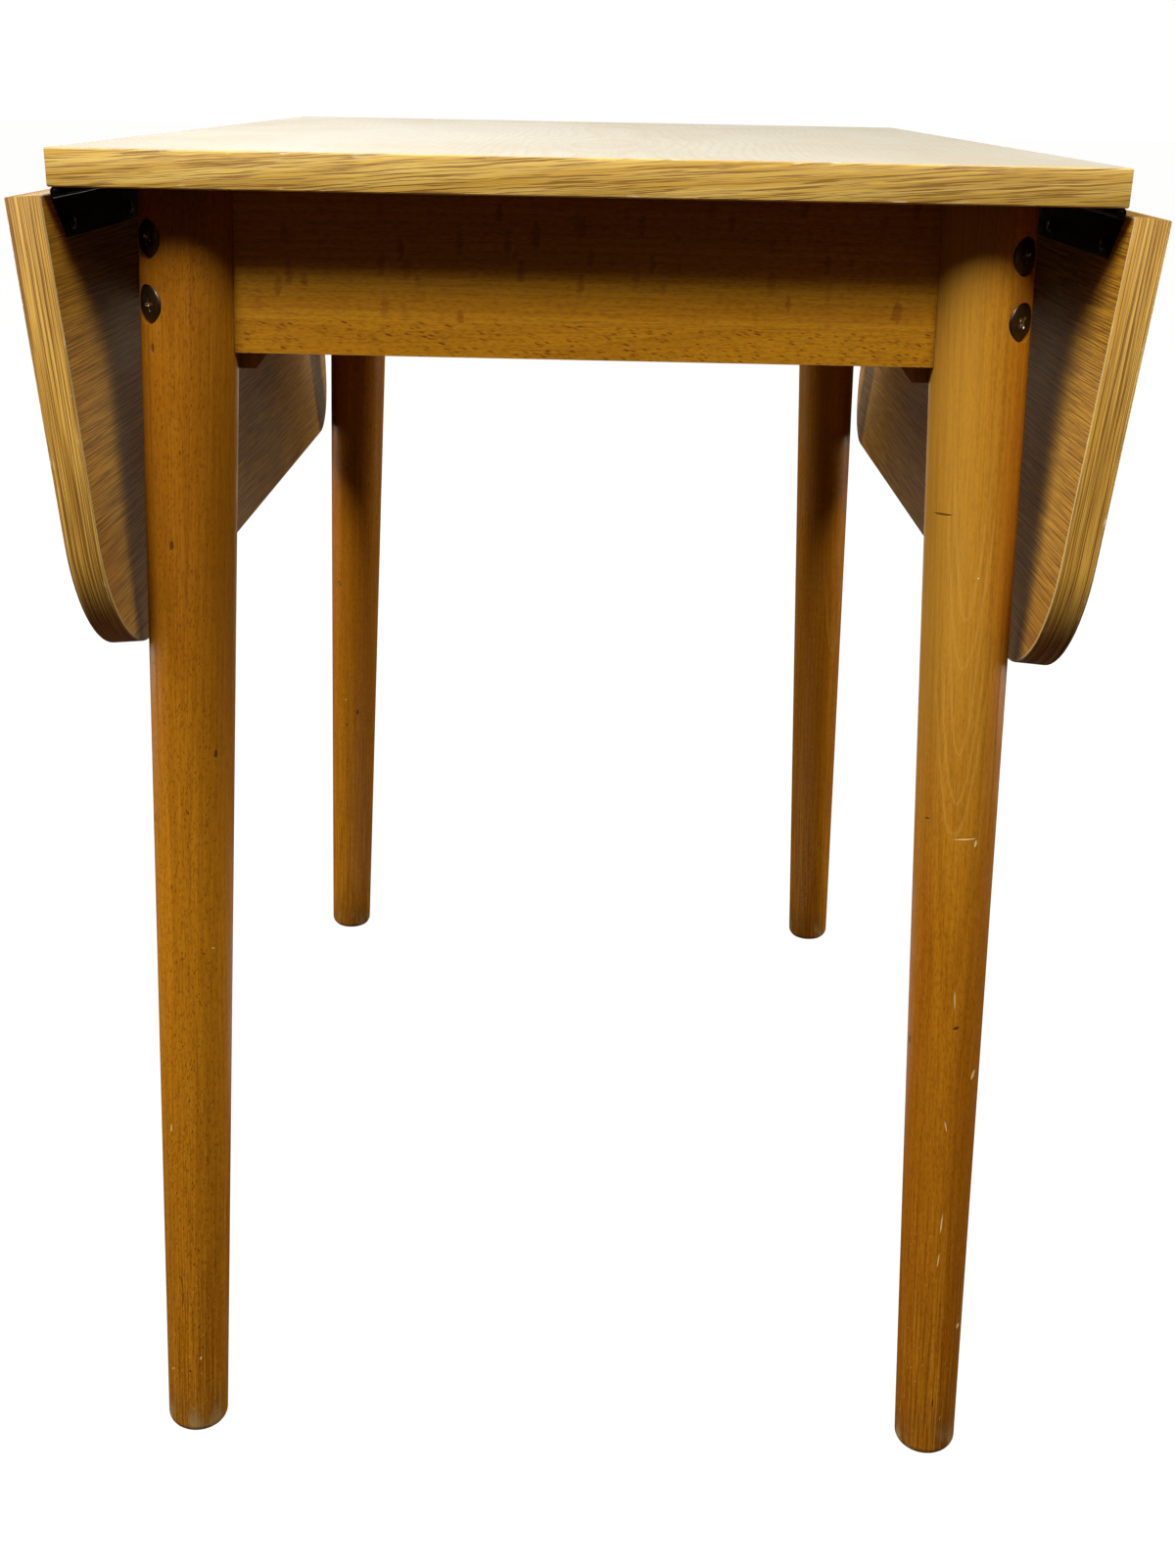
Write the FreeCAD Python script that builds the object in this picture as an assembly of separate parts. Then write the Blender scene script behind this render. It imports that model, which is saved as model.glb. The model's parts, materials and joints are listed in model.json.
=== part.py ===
import FreeCAD, Part
import math
import os
from FreeCAD import Rotation, Vector

# Drop-leaf table: a veneered centre top on a beech frame, with a leaf hinged along each long side.
# The origin is on the floor under the middle of the top. X runs across the table from leaf to leaf,
# Y runs along the hinge lines, and Z is up. Sizes are in millimetres and angles in degrees.

# Overall size of the centre top
table_height = 750.0
top_width = 500.0
top_length = 740.0

# Boards: chipboard core, laminate on both faces, oak band round the edge
core_thickness = 16.0
laminate_thickness = 0.75
band_thickness = 1.2
band_arris = 0.6

# Leaves: round at the free corners, hanging a little past plumb
leaf_width = 235.0
leaf_corner_radius = 70.0
leaf_gap = 1.0
leaf_hang_angle = 4.8

# Legs: round, tapered, splayed outwards both ways
leg_top_diameter = 50.0
leg_foot_diameter = 36.0
leg_splay = 2.5
leg_side_inset = 54.75
leg_end_inset = 52.25
foot_round = 7.0
foot_bands = 3
foot_trim = 1.5

# Rails between the legs
rail_height = 80.0
rail_thickness = 20.0
seat_clearance = 0.1

# Corner blocks behind the legs
block_size = 36.0
block_face_cut = 12.0
block_drop = 10.5
block_bevel_height = 39.0
block_toe = 17.0

# Leg bolts, through the leg and the corner block
bolt_diameter = 6.0
bolt_head_diameter = 18.0
bolt_head_thickness = 3.0
bolt_head_sink = 4.5
bolt_hole_clearance = 0.2
counterbore_clearance = 0.6
first_bolt_depth = 25.0
bolt_spacing = 31.0
bolt_tail = 9.0
cross_length = 9.0
cross_width = 1.8
cross_depth = 1.5

# Long hinges: two plates with interleaved knuckles on one pin
plate_width = 22.0
plate_thickness = 1.0
plate_end_margin = 14.0
plate_end_slant = 17.0
knuckle_diameter = 5.0
knuckle_clearance = 0.4
knuckle_count = 5
pin_diameter = 2.4
pin_clearance = 0.05

# Lopers: bars that slide out through the side rails to hold a leaf up
loper_width = 20.0
loper_height = 28.0
loper_length = 262.0
loper_top_drop = 8.0
loper_stow = 47.0
loper_reach = 36.0
loper_clearance = 0.4
loper_station = 177.5
loper_nose_round = 4.0
finger_scoop_radius = 13.0
stop_pin_width = 6.0
stop_pin_from_tail = 20.0
stop_pin_bite = 18.0
stop_pin_clearance = 0.05
stop_slot_clearance = 0.5

# Guides that carry the inner ends of the lopers
guide_end_margin = 27.0
guide_wall = 8.0
guide_floor = 8.0
guide_divider = 4.0
guide_flange = 16.0
guide_flange_thickness = 10.0

# Prop blocks under the leaves, which stop against the lopers' tips
prop_length = 30.0
prop_width = 26.0
prop_toe = 8.0
prop_heel = 8.0
prop_clearance = 0.5

# Angle brackets that hold the top to the rails
bracket_leg = 25.0
bracket_width = 20.0
bracket_thickness = 2.0
bracket_station = 120.0

# Heights and places that follow from the sizes
board_thickness = core_thickness + 2 * laminate_thickness
underside = table_height - board_thickness
leg_x = top_width / 2 - leg_side_inset
leg_y = top_length / 2 - leg_end_inset
splay = math.tan(math.radians(leg_splay))
pin_x = top_width / 2 + leaf_gap / 2
pin_z = underside - knuckle_diameter / 2 - knuckle_clearance
loper_top = underside - loper_top_drop
loper_bottom = loper_top - loper_height
loper_travel = loper_stow + loper_reach
loper_pitch = loper_width + guide_divider + 2 * loper_clearance
rail_inner_x = leg_x - rail_thickness / 2
rail_inner_y = leg_y - rail_thickness / 2
X_AXIS = Vector(1, 0, 0)
Y_AXIS = Vector(0, 1, 0)
Z_AXIS = Vector(0, 0, 1)
ORIGIN = Vector(0, 0, 0)
CORNERS = {"front_left": (-1, -1), "front_right": (1, -1), "rear_left": (-1, 1), "rear_right": (1, 1)}


def save(name, shape):
    shape.exportStep("parts/%s.step" % name)


def box(low, high):
    size = high - low
    return Part.makeBox(size.x, size.y, size.z, low)


def prism(points, direction):
    return Part.Face(Part.makePolygon(points + points[:1])).extrude(direction)


def rod(diameter, start, end):
    return Part.makeCylinder(diameter / 2, (end - start).Length, start, end - start)


def square_bar(width, start, height):
    """An upright bar of square section, standing on start."""
    half = Vector(width / 2, width / 2, 0)
    return box(start - half, start + half + Z_AXIS * height)


def at_corner(shape, sign_x, sign_y):
    """The shape of the rear right corner, mirrored to another corner."""
    if sign_x < 0:
        shape = shape.mirror(ORIGIN, X_AXIS)
    if sign_y < 0:
        shape = shape.mirror(ORIGIN, Y_AXIS)
    return shape


def half_turn(shape):
    """The shape of the right side, turned about the table's middle to the left side."""
    turned = shape.copy()
    turned.rotate(ORIGIN, Z_AXIS, 180)
    return turned


def hung(shape):
    """A right leaf's piece, turned down about its hinge pin from level to where it hangs."""
    turned = shape.copy()
    turned.rotate(Vector(pin_x, 0, pin_z), Y_AXIS, 90 + leaf_hang_angle)
    return turned


# Boards

def top_outline(inset):
    half_x = top_width / 2 - inset
    half_y = top_length / 2 - inset
    return [Vector(-half_x, -half_y, 0), Vector(half_x, -half_y, 0), Vector(half_x, half_y, 0),
            Vector(-half_x, half_y, 0)]


def leaf_outline(inset):
    """The right leaf held level, before its free corners are rounded."""
    hinge_edge = top_width / 2 + leaf_gap
    near = hinge_edge + inset
    far = hinge_edge + leaf_width - inset
    end = top_length / 2 - inset
    return [Vector(near, -end, 0), Vector(far, -end, 0), Vector(far, end, 0), Vector(near, end, 0)]


def slab(outline, inset, low, high, corner_radius):
    """A board layer of the given outline between two heights, with round free corners if it has any."""
    layer = prism([point + Vector(0, 0, low) for point in outline(inset)], Vector(0, 0, high - low))
    if corner_radius:
        reach = max(vertex.X for vertex in layer.Vertexes)
        corners = [edge for edge in layer.Edges if edge.BoundBox.XMin > reach - inset - band_thickness
                   and edge.BoundBox.ZLength > (high - low) / 2]
        layer = layer.makeFillet(corner_radius - inset, corners)
    return layer


def edge_band(outline, corner_radius):
    """The oak strip round a board, as tall as the board, with its outer arrises taken off."""
    outer = slab(outline, 0, underside, table_height, corner_radius)
    arrises = [edge for edge in outer.Edges if edge.BoundBox.ZLength < band_arris / 2]
    outer = outer.makeChamfer(band_arris, arrises)
    return outer.cut(slab(outline, band_thickness, underside, table_height, corner_radius))


def board(outline, corner_radius):
    """The four layers of a board."""
    core_low = underside + laminate_thickness
    core_high = table_height - laminate_thickness
    return {
        "core": slab(outline, band_thickness, core_low, core_high, corner_radius),
        "face_laminate": slab(outline, band_thickness, core_high, table_height, corner_radius),
        "back_laminate": slab(outline, band_thickness, underside, core_low, corner_radius),
        "edge_band": edge_band(outline, corner_radius),
    }


# Legs and frame

def leg_axis_point(depth):
    """The middle of the rear right leg, at a depth below the underside of the top."""
    return Vector(leg_x + splay * depth, leg_y + splay * depth, underside - depth)


def leg_blank(offset):
    """The rear right leg before drilling, grown by offset: a cone with a rounded foot, sawn level."""
    foot = leg_axis_point(underside)
    head = leg_axis_point(0)
    length = (head - foot).Length
    run_out = leg_top_diameter * splay
    foot_radius = leg_foot_diameter / 2 + offset
    growth = (leg_top_diameter - leg_foot_diameter) / 2 / length
    low = -foot_trim
    corner = foot_radius - foot_round
    turns = [math.pi / 2 * band / foot_bands for band in range(foot_bands + 1)]
    rounding = [Vector(corner + foot_round * math.sin(turn), 0, low + foot_round * (1 - math.cos(turn)))
                for turn in turns]
    crown = Vector(foot_radius + growth * (length + run_out), 0, length + run_out)
    outline = [Vector(0, 0, low)] + rounding + [crown, Vector(0, 0, crown.z)]
    cone = Part.Face(Part.makePolygon(outline + outline[:1])).revolve(ORIGIN, Z_AXIS, 360)
    cone.Placement = FreeCAD.Placement(foot, Rotation(Z_AXIS, head - foot))
    span = top_width + top_length
    return cone.common(box(Vector(-span, -span, 0), Vector(span, span, underside)))


def bolt_line(index):
    """Where a leg bolt crosses the leg's middle, and its direction in towards the corner block."""
    middle = leg_axis_point(first_bolt_depth + index * bolt_spacing)
    return middle, Vector(-1, -1, 0).normalize()


def leg_radius(depth):
    return (leg_top_diameter - (leg_top_diameter - leg_foot_diameter) * depth / underside) / 2


def bolt_seat(index):
    """The floor of a bolt's counterbore, on the leg's outward diagonal."""
    middle, inward = bolt_line(index)
    return middle - inward * (leg_radius(first_bolt_depth + index * bolt_spacing) - bolt_head_sink)


def block_exit(index):
    """Where a bolt comes out of the corner block's diagonal face."""
    middle, inward = bolt_line(index)
    depth = (block_size + block_face_cut) / 2
    face = Vector(rail_inner_x - depth, rail_inner_y - depth, middle.z)
    return middle + inward * (face - middle).dot(inward)


def bolt_holes():
    hole_diameter = bolt_diameter + 2 * bolt_hole_clearance
    return Part.makeCompound([rod(hole_diameter, bolt_seat(index), block_exit(index)) for index in (0, 1)])


def leg():
    shape = leg_blank(0)
    counterbore = bolt_head_diameter + 2 * counterbore_clearance
    for index in (0, 1):
        seat = bolt_seat(index)
        inward = bolt_line(index)[1]
        shape = shape.cut(rod(counterbore, seat - inward * leg_top_diameter, seat))
    return shape.cut(bolt_holes())


def corner_block():
    """A block in the angle of the rails, its inner corner cut square to the bolts and its foot bevelled."""
    low = underside - rail_height - block_drop
    a = Vector(rail_inner_x, rail_inner_y, low)
    plan = [a, a - X_AXIS * block_size, a - X_AXIS * block_size - Y_AXIS * block_face_cut,
            a - X_AXIS * block_face_cut - Y_AXIS * block_size, a - Y_AXIS * block_size]
    shape = prism(plan, Vector(0, 0, underside - low))
    inward = bolt_line(0)[1]
    across = Vector(1, -1, 0).normalize() * block_size
    toe = a + inward * block_toe * math.sin(math.pi / 4)
    heel = a + inward * (block_size + block_face_cut) * math.sin(math.pi / 4) + Z_AXIS * block_bevel_height
    outside = Vector(heel.x, heel.y, low)
    wedge = prism([toe - across, heel - across, outside - across], across * 2)
    return shape.cut(wedge).cut(leg_blank(seat_clearance)).cut(bolt_holes())


def leg_bolt(index):
    seat = bolt_seat(index)
    inward = bolt_line(index)[1]
    outer = seat - inward * bolt_head_thickness
    head = rod(bolt_head_diameter, outer, seat)
    arm = Vector(cross_length / 2, cross_width / 2, 0)
    for turn in (45, 135):
        slot = box(arm * -1, arm + Z_AXIS * cross_depth)
        slot.Placement = FreeCAD.Placement(outer, Rotation(Z_AXIS, inward).multiply(Rotation(Z_AXIS, turn)))
        head = head.cut(slot)
    end = block_exit(index) + inward * bolt_tail
    return head.fuse(rod(bolt_diameter, seat, end)).removeSplitter()


def legs_cut(shape):
    """The shape coped to fit round all four legs."""
    for sign_x, sign_y in CORNERS.values():
        shape = shape.cut(at_corner(leg_blank(seat_clearance), sign_x, sign_y))
    return shape


def end_rail():
    low = Vector(-leg_x, rail_inner_y, underside - rail_height)
    return legs_cut(box(low, Vector(leg_x, rail_inner_y + rail_thickness, underside)))


def right_loper_lines():
    """The middle lines, along Y, of the right leaf's two lopers, named by their end of the table."""
    return {"front": loper_pitch - loper_station, "rear": loper_station}


def side_rail():
    """The right rail, with a mortise for each loper and a finger scoop under it."""
    low = Vector(rail_inner_x, -leg_y, underside - rail_height)
    rail = legs_cut(box(low, Vector(rail_inner_x + rail_thickness, leg_y, underside)))
    half = loper_width / 2 + loper_clearance
    middle_x = rail_inner_x + rail_thickness / 2
    for line in right_loper_lines().values():
        mortise = box(Vector(rail_inner_x, line - half, loper_bottom - loper_clearance),
                      Vector(rail_inner_x + rail_thickness, line + half, loper_top + loper_clearance))
        scoop = rod(2 * finger_scoop_radius, Vector(middle_x, line, loper_bottom),
                    Vector(rail_inner_x + rail_thickness, line, loper_bottom))
        scoop = scoop.common(box(Vector(middle_x, line - loper_station, 0),
                                 Vector(rail_inner_x + rail_thickness, line + loper_station, loper_bottom)))
        rail = rail.cut(mortise).cut(scoop)
    return rail


# Brackets between the rails and the top

def bracket_stations():
    """Each bracket's corner under the top, its direction away from the rail, and the rail's own direction."""
    stations = []
    for sign in (1, -1):
        stations.append((Vector(0, sign * rail_inner_y, underside), Y_AXIS * -sign, X_AXIS))
        for along in (bracket_station, -bracket_station):
            stations.append((Vector(sign * rail_inner_x, along, underside), X_AXIS * -sign, Y_AXIS))
    return stations


def bracket(corner, inward, along):
    thick = bracket_thickness
    profile = [(0, 0), (bracket_leg, 0), (bracket_leg, thick),
               (thick, thick), (thick, bracket_leg), (0, bracket_leg)]
    start = corner - along * (bracket_width / 2)
    return prism([start + inward * out - Z_AXIS * down for out, down in profile], along * bracket_width)


# Hinges


def knuckle_spans():
    """The ends of each knuckle along Y, with a running gap between neighbours."""
    half = top_length / 2 - plate_end_margin
    pitch = 2 * half / knuckle_count
    starts = [index * pitch - half for index in range(knuckle_count)]
    return [(start + knuckle_clearance / 2, start + pitch - knuckle_clearance / 2) for start in starts]


def hinge_plate(side):
    """One plate of the right hinge held level: the leaf's (side 1) or the top's (side -1)."""
    half = top_length / 2 - plate_end_margin
    low = underside - plate_thickness
    far = pin_x + side * plate_width
    plan = [Vector(pin_x, -half, low), Vector(far, -half + plate_end_slant, low),
            Vector(far, half - plate_end_slant, low), Vector(pin_x, half, low)]
    plate = prism(plan, Vector(0, 0, plate_thickness))
    clear = knuckle_diameter / 2 + knuckle_clearance
    for index, (start, end) in enumerate(knuckle_spans()):
        own = (index % 2 == 1) == (side == 1)
        if own:
            plate = plate.fuse(rod(knuckle_diameter, Vector(pin_x, start, pin_z), Vector(pin_x, end, pin_z)))
        else:
            plate = plate.cut(box(Vector(pin_x - clear, start - knuckle_clearance, pin_z - clear),
                                  Vector(pin_x + clear, end + knuckle_clearance, underside + clear)))
    bore = rod(pin_diameter + 2 * pin_clearance, Vector(pin_x, -half, pin_z), Vector(pin_x, half, pin_z))
    return plate.cut(bore).removeSplitter()


def hinge_pin():
    half = top_length / 2 - plate_end_margin
    return rod(pin_diameter, Vector(pin_x, -half, pin_z), Vector(pin_x, half, pin_z))


# Lopers, their guides and the prop blocks

def stop_pin_place(line):
    tail = pin_x - loper_stow - loper_length
    return Vector(tail + stop_pin_from_tail, line, loper_bottom)


def loper(line):
    """A right loper pushed in: its tip lies in the rail's mortise and its tail in the guide."""
    tip = pin_x - loper_stow
    low = Vector(tip - loper_length, line - loper_width / 2, loper_bottom)
    bar = box(low, Vector(tip, line + loper_width / 2, loper_top))
    nose = [edge for edge in bar.Edges if edge.BoundBox.XMin > tip - loper_clearance
            and edge.BoundBox.ZLength > loper_clearance]
    bar = bar.makeFillet(loper_nose_round, nose)
    place = stop_pin_place(line)
    return bar.cut(square_bar(stop_pin_width + 2 * stop_pin_clearance, place, stop_pin_bite))


def stop_pin(line):
    place = stop_pin_place(line)
    drop = loper_clearance + guide_floor
    return square_bar(stop_pin_width, place - Z_AXIS * drop, drop + stop_pin_bite)


def guide_slots():
    """Each lane's middle line in the front guide, and the two ends of the slot for its stop pin."""
    half = stop_pin_width / 2 + stop_slot_clearance
    slots = {}
    for line, way in ((-loper_station, -1), (loper_pitch - loper_station, 1)):
        rest = stop_pin_place(line).x * way
        slots[line] = sorted((rest - way * half, rest + way * (loper_travel + half)))
    return slots


def loper_guide():
    """The front guide: a two-lane trough under the top, with a slot in its floor for each stop pin."""
    half_lane = loper_width / 2 + loper_clearance
    first = -loper_station - half_lane
    last = -loper_station + loper_pitch + half_lane
    floor = loper_bottom - loper_clearance
    shoulder = underside - guide_flange_thickness
    outline = [(first - guide_wall - guide_flange, underside), (first - guide_wall - guide_flange, shoulder),
               (first - guide_wall, shoulder), (first - guide_wall, floor - guide_floor),
               (last + guide_wall, floor - guide_floor), (last + guide_wall, shoulder),
               (last + guide_wall + guide_flange, shoulder), (last + guide_wall + guide_flange, underside)]
    slots = guide_slots()
    reach = max(abs(end) for ends in slots.values() for end in ends) + guide_end_margin
    trough = prism([Vector(-reach, y, z) for y, z in outline], X_AXIS * 2 * reach)
    slot_half = stop_pin_width / 2 + stop_slot_clearance
    for line, (near, far) in slots.items():
        lane = box(Vector(-reach, line - half_lane, floor), Vector(reach, line + half_lane, underside))
        slot = box(Vector(near, line - slot_half, floor - guide_floor), Vector(far, line + slot_half, floor))
        trough = trough.cut(lane).cut(slot)
    return trough


def prop_block(line):
    """A block under the level right leaf, whose upright face meets the tip of a loper that is drawn out."""
    near = pin_x + loper_reach + prop_clearance
    drop = underside - loper_bottom
    far = near + prop_length
    profile = [(near, 0), (near, drop), (near + prop_toe, drop), (far, prop_heel), (far, 0)]
    start = line - prop_width / 2
    return prism([Vector(x, start, underside - down) for x, down in profile], Y_AXIS * prop_width)


def save_frame():
    for name, layer in board(top_outline, 0).items():
        save("top_" + name, layer)
    for name, (sign_x, sign_y) in CORNERS.items():
        save("leg_" + name, at_corner(leg(), sign_x, sign_y))
        save("corner_block_" + name, at_corner(corner_block(), sign_x, sign_y))
    bolts = [at_corner(leg_bolt(index), sign_x, sign_y)
             for index in (0, 1) for sign_x, sign_y in CORNERS.values()]
    save("leg_bolts", Part.makeCompound(bolts))
    save("end_rail_rear", end_rail())
    save("end_rail_front", half_turn(end_rail()))
    save("side_rail_right", side_rail())
    save("side_rail_left", half_turn(side_rail()))
    save("top_brackets", Part.makeCompound([bracket(*station) for station in bracket_stations()]))
    save("loper_guide_front", loper_guide())
    save("loper_guide_rear", half_turn(loper_guide()))


def save_sides():
    """Each side's hinge, leaf and lopers: the left side is the right one turned half round."""
    props = Part.makeCompound([prop_block(line) for line in right_loper_lines().values()])
    leaf = board(leaf_outline, leaf_corner_radius)
    for side, place, other_end in (("right", lambda shape: shape, {"front": "front", "rear": "rear"}),
                                   ("left", half_turn, {"front": "rear", "rear": "front"})):
        save(side + "_hinge_top_plate", place(hinge_plate(-1)))
        save(side + "_hinge_pin", place(hinge_pin()))
        save(side + "_hinge_leaf_plate", place(hung(hinge_plate(1))))
        save(side + "_leaf_prop_blocks", place(hung(props)))
        for name, layer in leaf.items():
            save(side + "_leaf_" + name, place(hung(layer)))
        for end, line in right_loper_lines().items():
            save("%s_%s_loper" % (side, other_end[end]), place(loper(line)))
            save("%s_%s_loper_stop_pin" % (side, other_end[end]), place(stop_pin(line)))


os.makedirs("parts", exist_ok=True)
save_frame()
save_sides()
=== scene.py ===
import json
import math

import bmesh
import bpy
from mathutils import Matrix, Vector

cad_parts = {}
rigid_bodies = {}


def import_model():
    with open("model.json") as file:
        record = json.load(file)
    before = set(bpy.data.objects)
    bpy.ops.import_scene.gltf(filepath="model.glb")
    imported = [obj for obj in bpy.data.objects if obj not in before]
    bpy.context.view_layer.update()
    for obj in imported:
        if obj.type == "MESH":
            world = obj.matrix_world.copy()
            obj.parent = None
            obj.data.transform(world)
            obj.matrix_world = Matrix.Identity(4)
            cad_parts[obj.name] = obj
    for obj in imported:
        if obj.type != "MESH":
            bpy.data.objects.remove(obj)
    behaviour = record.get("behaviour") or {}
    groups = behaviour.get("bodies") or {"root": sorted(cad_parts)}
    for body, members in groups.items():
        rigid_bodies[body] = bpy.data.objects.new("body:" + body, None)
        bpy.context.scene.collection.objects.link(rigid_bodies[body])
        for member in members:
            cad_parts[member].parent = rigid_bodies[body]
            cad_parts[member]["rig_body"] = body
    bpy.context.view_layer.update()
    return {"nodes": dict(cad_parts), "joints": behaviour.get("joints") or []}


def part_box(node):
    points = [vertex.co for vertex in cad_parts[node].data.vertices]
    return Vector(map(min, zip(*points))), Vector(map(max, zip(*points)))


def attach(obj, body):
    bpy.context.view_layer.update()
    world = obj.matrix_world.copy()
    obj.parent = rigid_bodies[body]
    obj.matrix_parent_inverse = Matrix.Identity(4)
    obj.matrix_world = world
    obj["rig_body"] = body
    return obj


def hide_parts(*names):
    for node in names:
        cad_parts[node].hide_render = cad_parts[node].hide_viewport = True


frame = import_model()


# Legs: four round beech legs, turned to a taper and splayed both ways, with the rim of the foot
# rounded over and the ends sawn level. Two counterbores on each leg's outer corner take the bolt heads.
# They are lacquered amber, rubbed pale at the foot, with more fibre lines and specks towards the floor, and
# darker and greyer in patches in the last few centimetres.

MM = 0.001
CORNERS = {"front_left": (-1, -1), "front_right": (1, -1), "rear_left": (-1, 1), "rear_right": (1, 1)}
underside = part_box("top_back_laminate")[0].z
leg_top_radius = 25 * MM
leg_foot_radius = 18 * MM
leg_splay = math.tan(math.radians(2.5))
leg_head = (195.25 * MM, 317.75 * MM)
foot_round = 7 * MM
foot_trim = 1.5 * MM
bolt_depths = (25 * MM, 56 * MM)
bolt_head_sink = 4.5 * MM
counterbore_radius = 9.6 * MM


def tone(red, green, blue):
    """A colour given as it looks on a screen, as light."""
    channels = [value / 255 for value in (red, green, blue)]
    return tuple(c / 12.92 if c <= 0.04045 else ((c + 0.055) / 1.055) ** 2.4 for c in channels) + (1.0,)


class Shade:
    """A socket in a material. Arithmetic on it adds Math nodes."""

    def __init__(self, tree, socket):
        self.tree = tree
        self.socket = socket

    def add(self, kind, settings=None, values=None, out=0):
        """Adds a node: its settings, a ramp's stops among them, then the values or links of its sockets."""
        node = self.tree.nodes.new("ShaderNode" + kind)
        for key, value in (settings or {}).items():
            if key == "stops":
                while len(node.color_ramp.elements) < len(value):
                    node.color_ramp.elements.new(0.5)
                for stop, (position, colour) in zip(node.color_ramp.elements, value):
                    stop.position = position
                    stop.color = colour
            else:
                setattr(node, key, value)
        for key, value in (values or {}).items():
            if isinstance(value, Shade):
                self.tree.links.new(value.socket, node.inputs[key])
            else:
                node.inputs[key].default_value = value
        return Shade(self.tree, node.outputs[out])

    def math(self, operation, other=0.0):
        return self.add("Math", {"operation": operation}, {0: self, 1: other})

    def __add__(self, other):
        return self.math("ADD", other)

    def __sub__(self, other):
        return self.math("SUBTRACT", other)

    def __rsub__(self, other):
        return self.add("Math", {"operation": "SUBTRACT"}, {0: other, 1: self})

    def __mul__(self, other):
        return self.math("MULTIPLY", other)

    def __truediv__(self, other):
        return self.math("DIVIDE", other)

    __radd__ = __add__
    __rmul__ = __mul__

    def step(self, low, high):
        """Rises smoothly from 0 at low to 1 at high, or falls where low is the greater."""
        if low > high:
            return 1 - self.step(high, low)
        return self.add("MapRange", {"interpolation_type": "SMOOTHSTEP"}, {0: self, 1: low, 2: high})

    def other(self, name):
        """Another output of the same node."""
        return Shade(self.tree, self.socket.node.outputs[name])

    def parts(self):
        """The three values of a vector."""
        split = self.add("SeparateXYZ", values={0: self}).socket.node
        return [Shade(self.tree, output) for output in split.outputs]

    def noise(self, stretch, seed, detail=2.0):
        """Cloudy noise on these coordinates, stretched by the repeats per unit along each axis."""
        spot = self.add("Mapping", values={0: self, 1: (seed, seed * 1.7, -seed), 3: stretch})
        return self.add("TexNoise", values={"Vector": spot, "Scale": 1.0, "Detail": detail})

    def dashes(self, stretch, seed):
        """How far each point is from the nearest of scattered specks, in stretched coordinates."""
        spot = self.add("Mapping", values={0: self, 1: (seed, seed * 1.7, -seed), 3: stretch})
        return self.add("TexVoronoi", values={"Vector": spot, "Scale": 1.0})

    def under(self, mask, colour, blend="MIX"):
        """This colour, with another over it as far as the mask says."""
        return self.add("Mix", {"data_type": "RGBA", "blend_type": blend}, {0: mask, 6: self, 7: colour}, 2)


def new_material(name):
    """A new material, its shader, and the object's own coordinates in it."""
    material = bpy.data.materials.new(name)
    material.use_nodes = True
    tree = material.node_tree
    place = Shade(tree, tree.nodes.new("ShaderNodeTexCoord").outputs["Object"])
    return material, tree.nodes["Principled BSDF"], place


def lay(shader, colour, roughness, relief, height):
    """Feeds a shader its colour, its roughness, and a relief of the given height in metres."""
    links = shader.id_data.links
    links.new(colour.socket, shader.inputs["Base Color"])
    links.new(roughness.socket, shader.inputs["Roughness"])
    bump = relief.add("Bump", values={"Strength": 1.0, "Distance": height, "Height": relief})
    links.new(bump.socket, shader.inputs["Normal"])


def along_grain(place, origin, grain, heart):
    """Coordinates in millimetres that lie in the wood: z along the grain, y away from the heart."""
    along = Vector(grain).normalized()
    side = along.cross(Vector(heart)).normalized()
    turn = Matrix((side, along.cross(side), along)).transposed().to_euler()
    return place.add("Mapping", {"vector_type": "TEXTURE"}, {0: place, 1: origin, 2: turn, 3: (MM, MM, MM)})


LEG_TONES = {"pale": tone(177, 115, 18), "mid": tone(158, 94, 11), "dark": tone(112, 58, 6),
             "ray": tone(66, 30, 4)}
heart_distance = 90  # in mm, as all lengths in the wood's own coordinates


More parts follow.
